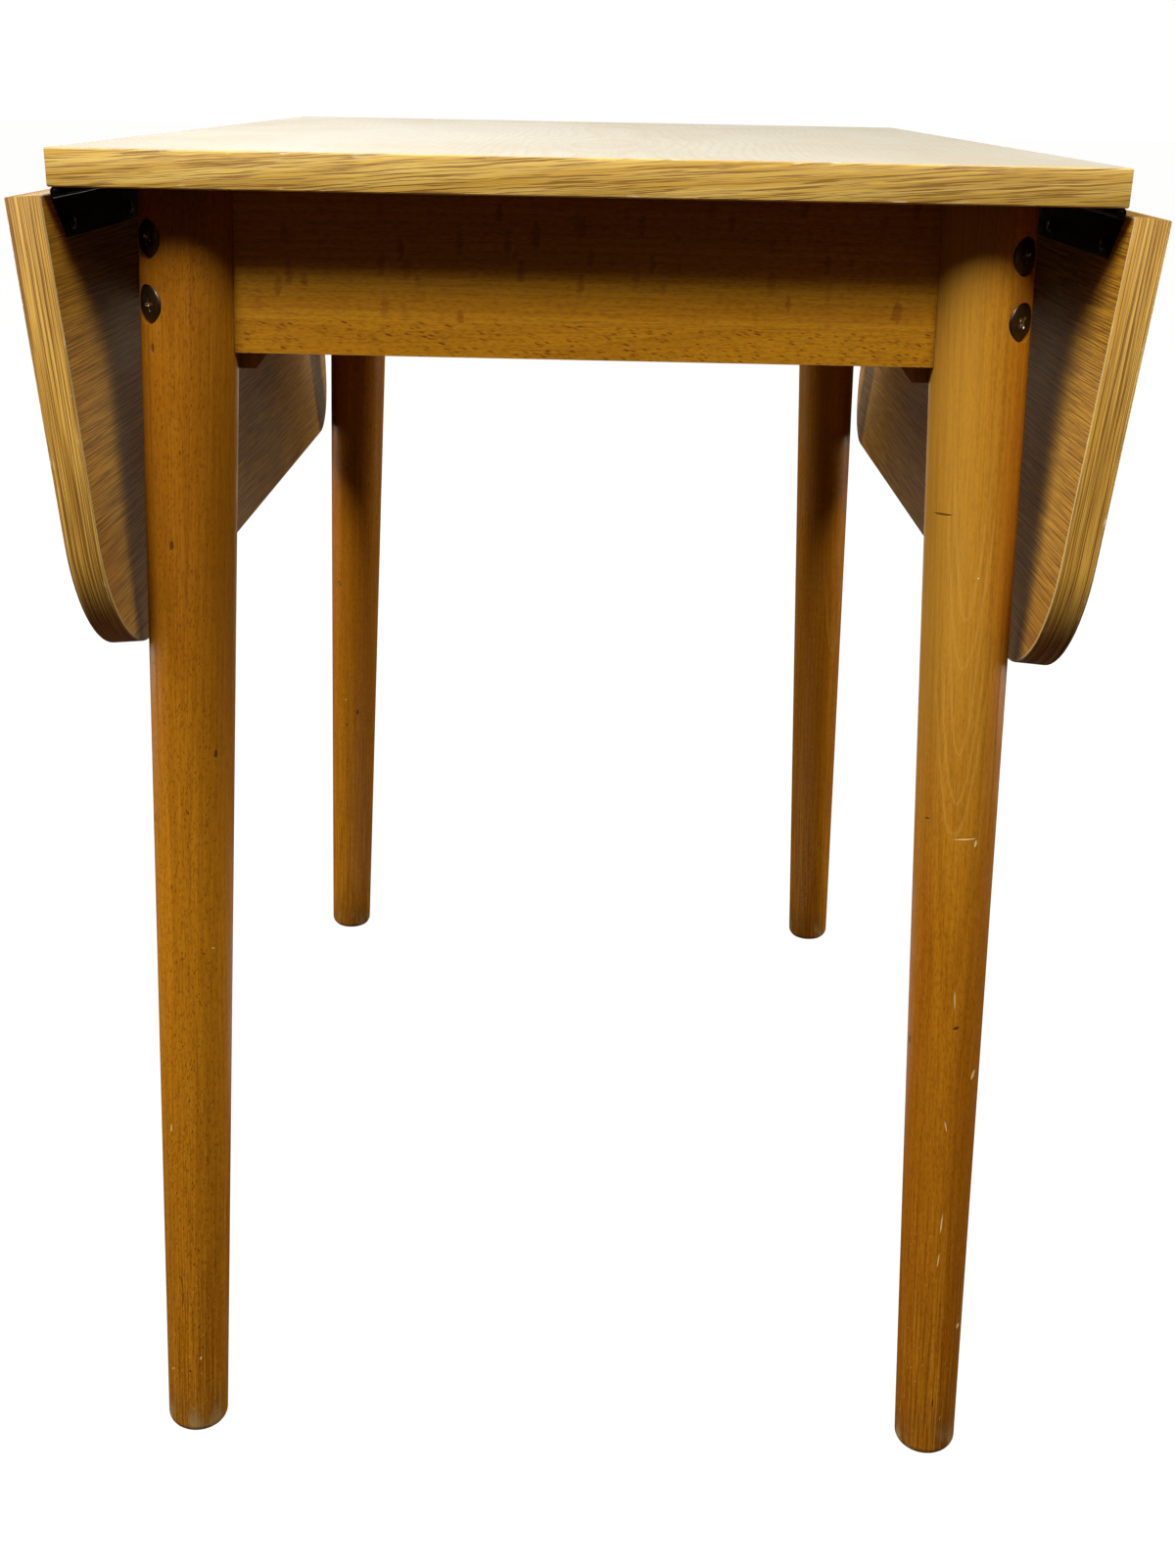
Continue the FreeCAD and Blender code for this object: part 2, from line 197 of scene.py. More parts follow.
def beech(wood, seed, tones, ring=3.4, rays=(1.0, 16, 3.6), share=0.3, tilt=0.2, strength=0.5, ray_zone=400):
    """Colour and relief of beech: growth rings round the heart, and rays as wide, deep and long as given."""
    x, y, z = wood.parts()
    out = y + heart_distance
    wander = wood.noise((0.011, 0.011, 0.0022), seed, 1.0) - 0.5
    radius = (x * x + out * out).math("SQRT") + wander * 16
    arc = x.math("ARCTAN2", out) * heart_distance
    late = (radius / ring).math("FRACT").step(0.35, 0.98)
    broad_at = wood.add("CombineXYZ", values={0: radius * 0.055, 1: arc * 0.004, 2: z * 0.0012})
    broad = broad_at.noise((1, 1, 1), seed + 3)
    fibre = wood.noise((2.6, 2.6, 0.05), seed + 5, 3.0)
    ragged = wood.noise((0.5, 0.5, 0.25), seed + 7, 2.0) - 0.5
    ray_width, ray_depth, ray_length = rays
    sheared = (arc - z * tilt) / ray_width + ragged * 0.5
    rays_at = wood.add("CombineXYZ", values={0: sheared, 1: radius / ray_depth + ragged * 0.5,
                                             2: z / ray_length + ragged * 0.6})
    cells = rays_at.add("TexVoronoi", values={"Vector": rays_at, "Scale": 1.0})
    pick, size, depth = cells.other("Color").parts()
    ray = (cells - size * 0.16).step(0.32, 0.14) * pick.step(share + 0.02, share - 0.02) * (depth * 0.7 + 0.3)
    ray = ray * x.math("ABSOLUTE").step(ray_zone + 4, ray_zone - 4)
    colour = wood.add("Mix", {"data_type": "RGBA"},
                      {0: broad.step(0.3, 0.7), 6: tones["mid"], 7: tones["pale"]}, 2)
    colour = colour.under(late * 0.22, tones["dark"])
    colour = colour.under(fibre.step(0.45, 0.7) * 0.4, tones["dark"])
    mottle = wood.noise((0.95, 0.95, 0.28), seed + 9, 2.0)
    colour = colour.under(mottle.step(0.5, 0.64) * 0.32, tones["dark"])
    colour = colour.under(mottle.step(0.46, 0.34) * 0.22, tones["pale"])
    colour = colour.under(ray * strength, tones["ray"])
    relief = fibre * 0.6 - ray * 0.3
    return colour, relief


def eased(shape, edges, width, segments=2):
    """Rounds these edges a little, and notes the new faces, which wear first."""
    arris = shape.faces.layers.float.get("arris") or shape.faces.layers.float.new("arris")
    made = bmesh.ops.bevel(shape, geom=edges, offset=width, offset_type="OFFSET", segments=segments,
                           profile=0.5, affect="EDGES", clamp_overlap=True, material=-1)
    for face in made["faces"]:
        face[arris] = 1.0


def piece(name, shape, body, material, nodes=(), smooth=math.radians(38)):
    """Makes an object of a bmesh, riding on a body, and standing for the nodes it replaces."""
    for edge in shape.edges:
        edge.smooth = not edge.is_manifold or edge.calc_face_angle() < smooth
    for face in shape.faces:
        face.smooth = True
    mesh = bpy.data.meshes.new(name)
    shape.to_mesh(mesh)
    shape.free()
    thing = bpy.data.objects.new(name, mesh)
    bpy.context.scene.collection.objects.link(thing)
    thing.data.materials.clear()
    thing.data.materials.append(material)
    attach(thing, body)
    if nodes:
        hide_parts(*nodes)
    return thing


def rod_between(shape, radius, start, end, segments=48):
    """Adds a closed round bar between two points."""
    run = Vector(end) - Vector(start)
    turn = Vector((0, 0, 1)).rotation_difference(run).to_matrix().to_4x4()
    middle = Matrix.Translation((Vector(start) + Vector(end)) / 2)
    return bmesh.ops.create_cone(shape, cap_ends=True, segments=segments, radius1=radius, radius2=radius,
                                 depth=run.length, matrix=middle @ turn)["verts"]


def cut_away(shape, cutter):
    """What is left of one bmesh when another is cut out of it."""
    solids = []
    for part in (shape, cutter):
        mesh = bpy.data.meshes.new("blank")
        part.to_mesh(mesh)
        part.free()
        solids.append(bpy.data.objects.new("blank", mesh))
        bpy.context.scene.collection.objects.link(solids[-1])
    tool = solids[0].modifiers.new("cut", "BOOLEAN")
    tool.object = solids[1]
    tool.solver = "EXACT"
    seen = solids[0].evaluated_get(bpy.context.evaluated_depsgraph_get())
    left = bmesh.new()
    left.from_mesh(bpy.data.meshes.new_from_object(seen))
    for solid in solids:
        bpy.data.objects.remove(solid)
    return left


def leg_axis(sign_x, sign_y, depth):
    """The middle of a leg at a depth below the top."""
    x, y = (value + leg_splay * depth for value in leg_head)
    return Vector((sign_x * x, sign_y * y, underside - depth))


def outward(sign_x, sign_y):
    """The level direction from the table's middle towards a corner."""
    return Vector((sign_x, sign_y, 0)).normalized()


def bolt_seat(sign_x, sign_y, depth):
    """The floor of a counterbore."""
    radius = leg_top_radius + (leg_foot_radius - leg_top_radius) * depth / underside
    return leg_axis(sign_x, sign_y, depth) + outward(sign_x, sign_y) * (radius - bolt_head_sink)


def turned_leg(sign_x, sign_y):
    """A leg as it leaves the lathe, sawn level at both ends and counterbored for its bolts."""
    head = leg_axis(sign_x, sign_y, 0)
    foot = leg_axis(sign_x, sign_y, underside)
    length = (head - foot).length
    spare = 2 * leg_top_radius * leg_splay
    growth = (leg_top_radius - leg_foot_radius) / length
    shape = bmesh.new()
    bmesh.ops.create_cone(shape, cap_ends=True, segments=80, radius1=leg_foot_radius,
                          radius2=leg_foot_radius + growth * (length + spare),
                          depth=length + spare + foot_trim,
                          matrix=Matrix.Translation((0, 0, (length + spare - foot_trim) / 2)))
    rim = [edge for edge in shape.edges if max(vert.co.z for vert in edge.verts) < 0]
    bmesh.ops.bevel(shape, geom=rim, offset=foot_round, offset_type="OFFSET", segments=7, profile=0.5,
                    affect="EDGES", material=-1)
    turn = Vector((0, 0, 1)).rotation_difference(head - foot).to_matrix().to_4x4()
    bmesh.ops.transform(shape, matrix=Matrix.Translation(foot) @ turn, verts=shape.verts)
    for height, facing in ((0, -1), (underside, 1)):
        sawn = bmesh.ops.bisect_plane(shape, geom=shape.verts[:] + shape.edges[:] + shape.faces[:],
                                      plane_co=(0, 0, height), plane_no=(0, 0, facing), clear_outer=True)
        loop = [part for part in sawn["geom_cut"] if isinstance(part, bmesh.types.BMEdge)]
        bmesh.ops.edgeloop_fill(shape, edges=loop)
    drill = bmesh.new()
    seats = [bolt_seat(sign_x, sign_y, depth) for depth in bolt_depths]
    for seat in seats:
        rod_between(drill, counterbore_radius, seat, seat + outward(sign_x, sign_y) * leg_top_radius, 56)
    shape = cut_away(shape, drill)
    bmesh.ops.recalc_face_normals(shape, faces=shape.faces)
    mouth = [edge for edge in shape.edges if edge.calc_face_angle(0) > math.radians(35)
             and min((edge.verts[0].co - seat).length for seat in seats) < 2 * counterbore_radius
             and all((edge.verts[0].co - seat).dot(outward(sign_x, sign_y)) > 1 * MM for seat in seats)
             and edge.verts[0].co.z < underside - 1 * MM]
    eased(shape, mouth, 0.7 * MM)
    return shape


def mark(wood, across, height, wide, tall, lean):
    """A small mark on the side of a leg that faces its heart, as wide and tall each way as given."""
    x, y, z = wood.parts()
    up = z - height
    level = (x - across - up * lean) / wide
    up = up / tall
    return (level * level + up * up).math("SQRT").step(1.2, 0.6) * y.step(0, -3)


def arch(wood, across, height, narrow):
    """A thin line where a growth ring meets the side of a leg: an arch that hangs down to its tip."""
    x, y, z = wood.parts()
    level = x - across
    sway = (wood.noise((0.12, 0.12, 0.06), across + height, 2.0) - 0.5) * 14
    off = (level * level / narrow - (z - height) + sway).math("ABSOLUTE")
    steep = (level * level * (4 / narrow / narrow) + 1).math("SQRT")
    return (off / steep).step(1.1, 0.2) * y.step(-6, -12) * (z - height).step(120, 40)


def leg_finish(corner, sign_x, sign_y, seed):
    """A leg's wood: one side of its upper part set off, paler wood on the right legs and a painted shade on the
    left ones, and the marks of its use.
    """
    material, shader, place = new_material("beech_leg_" + corner)
    side_tone_and_shade, side_share, side_from, side_to = LEG_SIDE_TONES_AND_SHADES[corner]
    heart, ray_strength = LEG_HEARTS[corner]
    foot = leg_axis(sign_x, sign_y, underside)
    wood = along_grain(place, foot, leg_axis(sign_x, sign_y, 0) - foot, heart)
    colour, relief = beech(wood, seed, LEG_TONES, rays=(0.8, 14, 2.9), share=0.5, strength=ray_strength,
                           ray_zone=17)
    across, _, height = wood.parts()
    # The upper side: a painted shade on the left legs, paler wood on the right legs.
    upper_side_tone_and_shade = (across + height * 0.03).step(side_from, side_to) * height.step(330, 560)
    colour = colour.under(upper_side_tone_and_shade * side_share, side_tone_and_shade)
    arris = place.add("Attribute", {"attribute_name": "arris"}, out=2)
    scuffs = wood.noise((0.09, 0.09, 0.03), seed + 20, 4.0)
    # Darker and greyer in patches within a few centimetres of the floor.
    foot_greying = height.step(42, 3) * scuffs.step(0.3, 0.65)
    dents = wood.dashes((0.03, 0.03, 0.012), seed + 30).step(0.04, 0.025)
    worn = height.step(260, 10)
    threads = wood.noise((1.1, 1.1, 0.012), seed + 25, 2.0)
    specks = wood.dashes((0.34, 0.34, 0.16), seed + 27).step(0.14, 0.07)
    colour = colour.under(threads.step(0.5, 0.6) * (worn * 0.45 + 0.15), LEG_TONES["dark"])
    colour = colour.under(threads.step(0.44, 0.34) * (worn * 0.35 + 0.1), tone(190, 134, 42))
    colour = colour.under(foot_greying * 0.5, tone(88, 68, 34))
    colour = colour.under(height.step(24, 2) * scuffs.step(0.48, 0.6) * 0.5, tone(178, 152, 98))
    colour = colour.under(specks * worn * 0.45, tone(216, 184, 112))
    # The eased counterbore mouths are painted pale: rubbed bare wood, and a painted highlight along the rim.
    colour = colour.under(arris * 0.7, tone(226, 184, 112))
    colour = colour.under(dents * 0.7, tone(48, 22, 8))
    for tip in LEG_ARCHES.get(corner, []):
        colour = colour.under(arch(wood, *tip) * 0.2, tone(206, 158, 74))
    for kind, *spot in LEG_MARKS.get(corner, []):
        spot = mark(wood, *spot)
        colour = colour.under(spot * 0.75, MARK_TONES[kind])
        dents = dents + spot * 0.5
    rough = scuffs.step(0.35, 0.8) * 0.16 + 0.3 + foot_greying * 0.25
    lay(shader, colour, rough, relief * 0.5 + scuffs * 0.4 - dents * 2, 0.00025)
    shader.inputs["Specular IOR Level"].default_value = 0.14
    shader.inputs["Coat Weight"].default_value = 0.03
    shader.inputs["Coat Roughness"].default_value = 0.22
    return material


# Which way the heart of each leg's wood lies, and how dark its rays are.
LEG_HEARTS = {"front_left": ((-0.15, -1, 0), 0.95), "front_right": ((-0.25, -1, 0), 0.3),
              "rear_left": ((-0.4, -1, 0), 0.4), "rear_right": ((0.8, -0.6, 0), 0.4)}
# The tone of the upper part's odd side, how strong it is, and where across the leg it starts and is full. On
# the left legs it is a darker painted shade, on the right legs paler wood.
LEG_SIDE_TONES_AND_SHADES = {"front_left": (tone(104, 56, 6), 0.5, 60, 30), "front_right": (tone(188, 142, 52), 0.55, 46, 10),
             "rear_left": (tone(120, 66, 8), 0.3, 26, -2), "rear_right": (tone(160, 108, 30), 0.3, 26, -2)}
# The arches of the growth rings: the tip's place across and up in mm, and how narrow the arch is.
LEG_ARCHES = {"front_right": [(1.4, 503, 1.7), (1.2, 530, 1.1), (0.7, 409, 2.1), (1.0, 428, 1.5),
                              (1.3, 455, 0.9)],
              "rear_right": [(-6, 300, 1.2)]}
# A hole's dark tone is painted shade for its hollow, which the relief only dents.
MARK_TONES = {"scratch": tone(232, 204, 140), "hole": tone(36, 16, 6), "stain": tone(96, 52, 8)}
# The marks of use on each leg: kind, place across and up, half width and half height in mm, and lean.
LEG_MARKS = {
    "front_right": [("scratch", 6.5, 408, 5.8, 0.45, 0), ("scratch", 12.1, 405, 0.7, 2.2, 0.1),
                    ("hole", -13.9, 417, 1.3, 0.6, 1.0), ("stain", -12.9, 582.5, 5.0, 0.7, 0),
                    ("hole", 7.2, 294, 1.5, 1.1, 0.5), ("scratch", 5.7, 312, 0.35, 6.0, -0.05),
                    ("scratch", 17.5, 262, 0.8, 3.0, 0.2), ("scratch", 4.3, 232, 0.4, 3.5, -0.2),
                    ("scratch", 4.8, 167, 0.45, 6.5, 0.06), ("scratch", 4.1, 142, 0.4, 4.8, 0.1),
                    ("scratch", 17.0, 91, 0.8, 2.0, 0), ("hole", 5.2, 39, 0.4, 3.6, 0),
                    ("scratch", 6.3, 551, 0.5, 0.5, 0)],
    "front_left": [("scratch", 15.9, 330, 0.5, 0.5, 0), ("scratch", -8.3, 214, 0.5, 2.6, 0.1),
                   ("stain", -2.5, 108, 0.4, 6.0, -0.1), ("stain", -2.1, 97, 0.4, 6.0, 0.1),
                   ("hole", 1.9, 46, 0.7, 0.9, 0), ("scratch", -10.3, 44, 0.6, 1.2, 0.3),
                   ("scratch", 8.0, 56, 0.6, 1.4, 0.2)],
    "rear_left": [("hole", -5.2, 357, 0.6, 1.8, 0.5), ("hole", -3.8, 355, 0.6, 1.8, 0.5),
                  ("hole", 3.4, 219, 0.7, 1.2, 0.4), ("scratch", 2.3, 244, 0.5, 1.0, 0)],
}
for seed, (corner, signs) in enumerate(CORNERS.items()):
    leg_material = leg_finish(corner, *signs, 4.3 + 7.1 * seed)
    piece("turned_leg_" + corner, turned_leg(*signs), "frame", leg_material, ["leg_" + corner])


# Rails: beech boards on edge between the legs, coped to fit round them. The end rails are glued up from a
# quarter-sawn upper board, flecked upright by its rays, and a slash-grained strip along the bottom edge.
# The side rails are mortised for the lopers.

end_rail_strip = 17  # in mm
RAIL_TONES = {"pale": tone(198, 139, 27), "mid": tone(177, 116, 14), "dark": tone(124, 70, 8),
              "ray": tone(70, 30, 4)}


def board_from(node, width, material, name, angle=math.radians(40)):
    """A copy of a solid with its doubles merged and its sharp edges eased, shown in the solid's place."""
    shape = bmesh.new()
    shape.from_mesh(frame["nodes"][node].data)
    bmesh.ops.remove_doubles(shape, verts=shape.verts, dist=2e-6)
    bmesh.ops.dissolve_limit(shape, angle_limit=math.radians(0.4), verts=shape.verts, edges=shape.edges)
    sharp = [edge for edge in shape.edges if edge.is_manifold and edge.calc_face_angle() > angle]
    eased(shape, sharp, width)
    return piece(name, shape, frame["nodes"][node]["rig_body"], material, [node])


def end_rail_finish(end, sign_y):
    """An end rail's wood: the flecked upper board, the strip under it and the seam between them."""
    material, shader, place = new_material("beech_end_rail_" + end)
    low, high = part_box("end_rail_" + end)
    face = (0, low.y if sign_y < 0 else high.y, low.z)
    upper_wood = along_grain(place, face, (1, 0, 0), (0, 0, -1))
    lower_wood = along_grain(place, face, (1, 0, 0.03), (0, sign_y, 0))
    upper_tones = dict(RAIL_TONES, ray=tone(116, 50, 6))
    upper, upper_relief = beech(upper_wood, 2.2 + sign_y, upper_tones, ring=4.2, rays=(1.1, 17, 6.0),
                                share=0.22, tilt=0, strength=0.5)
    lower_tones = dict(RAIL_TONES, ray=tone(108, 52, 8))
    lower, lower_relief = beech(lower_wood, 8.6 + sign_y, lower_tones, ring=3.4, rays=(1.25, 16, 4.4),
                                share=0.6, tilt=0.22, strength=0.9)
    height = (place.parts()[2] - low.z) / MM
    wander = place.noise((6, 6, 6), 3.0) - 0.5
    strip = (height + wander * 1.5).step(end_rail_strip + 0.15, end_rail_strip - 0.15)
    seam = (height + wander * 1.5 - end_rail_strip).math("ABSOLUTE").step(0.45, 0.15)
    arris = place.add("Attribute", {"attribute_name": "arris"}, out=2)
    colour = upper.under(strip, lower)
    colour = colour.under(seam * 0.08, tone(104, 58, 8))
    colour = colour.under(arris * 0.35, tone(206, 160, 84))
    cloud = place.noise((14, 14, 14), 5.0, 4.0)
    relief = upper_relief * (1 - strip) + lower_relief * strip
    lay(shader, colour, cloud * 0.2 + 0.3, relief * 0.5 + cloud * 0.4 - seam * 0.15, 0.0002)
    shader.inputs["Specular IOR Level"].default_value = 0.3
    shader.inputs["Coat Weight"].default_value = 0.08
    shader.inputs["Coat Roughness"].default_value = 0.25
    return material


for end, sign_y in (("front", -1), ("rear", 1)):
    board_from("end_rail_" + end, 0.8 * MM, end_rail_finish(end, sign_y), "coped_end_rail_" + end)


def plain_beech(name, origin, grain, heart, seed, tones, rough):
    """Beech that shows little: one board's grain, scuffs and rubbed arrises."""
    material, shader, place = new_material(name)
    wood = along_grain(place, origin, grain, heart)
    colour, relief = beech(wood, seed, tones)
    arris = place.add("Attribute", {"attribute_name": "arris"}, out=2)
    scuffs = wood.noise((0.05, 0.05, 0.02), seed + 12, 4.0)
    colour = colour.under(arris * 0.4, tones["pale"])
    colour = colour.under(scuffs.step(0.5, 0.75) * 0.3, tones["dark"])
    lay(shader, colour, scuffs * 0.25 + rough, relief + scuffs * 0.3, 0.0002)
    return material


for side, sign_x in (("left", -1), ("right", 1)):
    rail = "side_rail_" + side
    rail_finish = plain_beech("beech_" + rail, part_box(rail)[0], (0, 1, 0), (sign_x, 0, 0.2), 6.0 + sign_x,
                              RAIL_TONES, rough=0.32)
    board_from(rail, 0.8 * MM, rail_finish, "mortised_side_rail_" + side)


# Corner blocks: sawn beech blocks glued into the corners of the rails behind the legs, with the inner corner
# cut off square to the bolts and the foot bevelled back below the rail.

SAWN_TONES = {"pale": tone(188, 140, 66), "mid": tone(166, 114, 46), "dark": tone(122, 76, 24),
              "ray": tone(92, 52, 14)}
for corner, (sign_x, sign_y) in CORNERS.items():
    block = "corner_block_" + corner
    block_seed = 9.0 + sign_x + 2 * sign_y
    block_finish = plain_beech("sawn_" + block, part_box(block)[0], (0, 0, 1), (sign_x, -sign_y, 0), block_seed,
                               SAWN_TONES, rough=0.55)
    board_from(block, 1.0 * MM, block_finish, "bevelled_" + block)


# Leg bolts: dulled nickelled bolts with flat cross-recessed heads, two through each leg on the diagonal
# into the corner block, drawn up behind it by a washer and a hexagon nut on the threaded tail.

bolt_radius = 3 * MM
thread_root = 0.8 * bolt_radius
block_face_sum = 445 * MM  # |x| + |y| on the sawn-off face of each corner block
bolt_tail = 9 * MM
thread_pitch = 1.0 * MM
thread_start = 1.0 * MM
recess_taper = 0.55
washer_radius = 8 * MM
washer_thickness = 1.6 * MM
nut_across_flats = 10 * MM
nut_height = 5 * MM


def cross_head(profile, cross_length, cross_width, cross_depth, steps=40):
    """A turned head standing up from z = 0, with a tapered cross recess in its top."""
    head = bmesh.new()
    line = [head.verts.new((radius, 0, height)) for radius, height in profile]
    edges = [head.edges.new(pair) for pair in zip(line, line[1:])]
    bmesh.ops.spin(head, geom=line + edges, cent=(0, 0, 0), axis=(0, 0, 1),
                   angle=2 * math.pi, steps=steps, use_merge=True)
    bmesh.ops.remove_doubles(head, verts=head.verts, dist=1e-7)
    bmesh.ops.recalc_face_normals(head, faces=head.faces)
    top = max(height for radius, height in profile)
    cross = bmesh.new()
    for turn in (0, math.pi / 2):
        place = Matrix.Rotation(turn, 4, "Z") @ Matrix.Translation((0, 0, top))
        stretch = Matrix.Diagonal((cross_length, cross_width, 2 * cross_depth, 1))
        for vert in bmesh.ops.create_cube(cross, size=1, matrix=place @ stretch)["verts"]:
            if vert.co.z < top:
                vert.co.x *= recess_taper
                vert.co.y *= recess_taper
    cut = cut_away(cut_away(head, half_of(cross, 0)), half_of(cross, 1))
    cross.free()
    bmesh.ops.recalc_face_normals(cut, faces=cut.faces)
    recess = [edge for edge in cut.edges if edge.calc_face_angle(0) > math.radians(30)
              and max(vert.co.to_2d().length for vert in edge.verts) < cross_length * 0.6]
    eased(cut, recess, cross_width * 0.08, 1)
    # The whole cross recess is marked as well, so the metal paints it bright: a painted glint where the recess
    # lies in shade.
    arris = cut.faces.layers.float["arris"]
    for face in cut.faces:
        middle = face.calc_center_median()
        if middle.to_2d().length < cross_length * 0.5 and middle.z < top - cross_depth * 0.12:
            face[arris] = float(middle.z > top - cross_depth * 1.1)
    return cut


def half_of(shape, index):
    """One of the separate halves of a bmesh, as a bmesh of its own."""
    part = shape.copy()
    part.verts.ensure_lookup_table()
    count = len(part.verts) // 2
    spare = part.verts[count:] if index == 0 else part.verts[:count]
    bmesh.ops.delete(part, geom=spare, context="VERTS")
    return part


def set_in(shape, template, seat, direction, roll=0.0):
    """Adds a copy of a template to a bmesh, standing on seat and turned to face a direction."""
    copy = bpy.data.meshes.new("copy")
    template.to_mesh(copy)
    turn = Vector((0, 0, 1)).rotation_difference(Vector(direction)).to_matrix().to_4x4()
    copy.transform(Matrix.Translation(seat) @ turn @ Matrix.Rotation(roll, 4, "Z"))
    shape.from_mesh(copy)
    bpy.data.meshes.remove(copy)


def metal(name, bright, dull, stain, rough, grain):
    """Worn metal: bright where it is rubbed, and in screw recesses with a painted glint; dulled and stained in
    patches, with fine scratches.
    """
    material, shader, place = new_material(name)
    patches = place.noise((grain, grain, grain), 2.0, 5.0)
    scratches = place.noise((grain * 1.2, grain * 9, grain * 9), 6.0, 2.0)
    arris = place.add("Attribute", {"attribute_name": "arris"}, out=2)
    colour = place.add("Mix", {"data_type": "RGBA"}, {0: patches.step(0.35, 0.7), 6: dull, 7: stain}, 2)
    colour = colour.under(patches.step(0.34, 0.2) * 0.6 + arris * 0.9, bright)
    lay(shader, colour, patches * 0.25 + rough - arris * 0.1, patches * 0.5 + scratches, 0.00004)
    shader.inputs["Metallic"].default_value = 1.0
    return material


nickel = metal("dulled_nickel", tone(196, 184, 158), tone(88, 80, 66), tone(70, 60, 46),
               rough=0.26, grain=160)
bolt_profile = [(0, 0), (8.9, 0), (9.1, 0.3), (9.1, 2.5), (8.8, 3.1), (8.2, 3.4), (5.5, 3.7), (0, 3.8)]
bolt_profile = [(radius * MM, height * MM) for radius, height in bolt_profile]
bolt_head = cross_head(bolt_profile, cross_length=9 * MM, cross_width=2.0 * MM, cross_depth=1.7 * MM,
                       steps=56)


def threaded_tail(shape, start, direction, length):
    """Adds a screw thread, swept round a bolt's tail."""
    tail = bmesh.new()
    profile = ((thread_root, 0), (bolt_radius, 0.5), (thread_root, 1))
    crest = [tail.verts.new((radius, 0, thread_pitch * rise)) for radius, rise in profile]
    flanks = [tail.edges.new(pair) for pair in zip(crest, crest[1:])]
    turns = int(length / thread_pitch) - 1
    steps = 20
    bmesh.ops.spin(tail, geom=crest + flanks, cent=(0, 0, 0), axis=(0, 0, 1),
                   dvec=(0, 0, thread_pitch / steps), angle=2 * math.pi * turns, steps=steps * turns)
    bmesh.ops.remove_doubles(tail, verts=tail.verts, dist=1e-6)
    bmesh.ops.recalc_face_normals(tail, faces=tail.faces)
    set_in(shape, tail, start, direction)
    tail.free()


bolts = bmesh.new()
washers = bmesh.new()
nuts = bmesh.new()
for sign_x, sign_y in CORNERS.values():
    for index, depth in enumerate(bolt_depths):
        out = outward(sign_x, sign_y)
        seat = bolt_seat(sign_x, sign_y, depth)
        middle = leg_axis(sign_x, sign_y, depth)
        face = middle - out * ((abs(middle.x) + abs(middle.y) - block_face_sum) / math.sqrt(2))
        set_in(bolts, bolt_head, seat, out, math.radians(38 + 31 * index + 17 * sign_x))
        rod_between(bolts, thread_root, seat, face - out * bolt_tail, 24)
        threaded_tail(bolts, face - out * thread_start, -out, bolt_tail - thread_start)
        rod_between(washers, washer_radius, face, face - out * washer_thickness, 40)
        rod_between(nuts, nut_across_flats / math.sqrt(3), face - out * washer_thickness,
                    face - out * (washer_thickness + nut_height), 6)
for shape in (washers, nuts):
    eased(shape, shape.edges[:], 0.35 * MM)
piece("leg_bolts_nickelled", bolts, "frame", nickel, ["leg_bolts"])
piece("leg_bolt_washers", washers, "frame", nickel)
piece("leg_bolt_nuts", nuts, "frame", nickel)


# Centre top: a chipboard core with oak laminate on both faces and an oak band glued round the edge, its
# arrises eased by hand. The face is pale and satin, the back is duller, and the band is golden with dark
# streaks.

OAK_FACE = {"pale": tone(195, 191, 177), "mid": tone(188, 181, 162), "dark": tone(168, 149, 110)}
OAK_BACK = {"pale": tone(204, 150, 44), "mid": tone(182, 124, 26), "dark": tone(104, 60, 10)}


def oak(wood, seed, tones, figure, streaks, ring=4.6, depth=55):
    """Colour and relief of plain-sawn oak laminate: cathedral figure, fine grain lines and short pores."""
    x = wood.parts()[0]
    sway = wood.noise((0.004, 0.004, 0.0019), seed, 1.0) - 0.5
    swell = wood.noise((0.02, 0.02, 0.0045), seed + 4, 2.0) - 0.5
    radius = (x * x + depth * depth).math("SQRT") + sway * 70 + swell * 7
    early = (radius / ring).math("FRACT").step(0.45, 1.0)
    lines = wood.noise((2.8, 2.8, 0.02), seed + 8, 3.0)
    pores = wood.dashes((1.6, 1.6, 0.11), seed + 2).step(0.24, 0.12) * early.step(0.2, 0.7)
    cloud = wood.noise((0.012, 0.012, 0.005), seed + 6, 3.0)
    colour = wood.add("Mix", {"data_type": "RGBA"},
                      {0: cloud.step(0.3, 0.7), 6: tones["mid"], 7: tones["pale"]}, 2)
    colour = colour.under(early * figure, tones["dark"])
    colour = colour.under(lines.step(0.45, 0.56) * streaks, tones["dark"])
    colour = colour.under(pores * 0.5, tones["dark"])
    return colour, lines * 0.5 - pores * 0.8


def oak_sheet(name, origin, across, seed, tones, figure, streaks, rough, gloss):
    """Oak laminate with its grain along the table, on a face that runs across in the given direction."""
    material, shader, place = new_material(name)
    up = Vector(across).cross(Vector((0, 1, 0)))
    wood = along_grain(place, origin, (0, 1, 0), up)
    colour, relief = oak(wood, seed, tones, figure, streaks)
    rubs = wood.noise((0.02, 0.02, 0.012), seed + 15, 5.0)
    specks = wood.dashes((0.016, 0.016, 0.016), seed + 17).step(0.035, 0.02)
    colour = colour.under(specks * 0.6, tones["dark"])
    colour = colour.under(rubs.step(0.6, 0.8) * 0.25, tones["pale"])
    lay(shader, colour, rubs * 0.22 + rough, relief + rubs * 0.3, 0.00012)
    shader.inputs["Specular IOR Level"].default_value = gloss
    return material


def coat_node(node, material):
    """Gives a solid that stays in view its material."""
    frame["nodes"][node].data.materials.clear()
    frame["nodes"][node].data.materials.append(material)


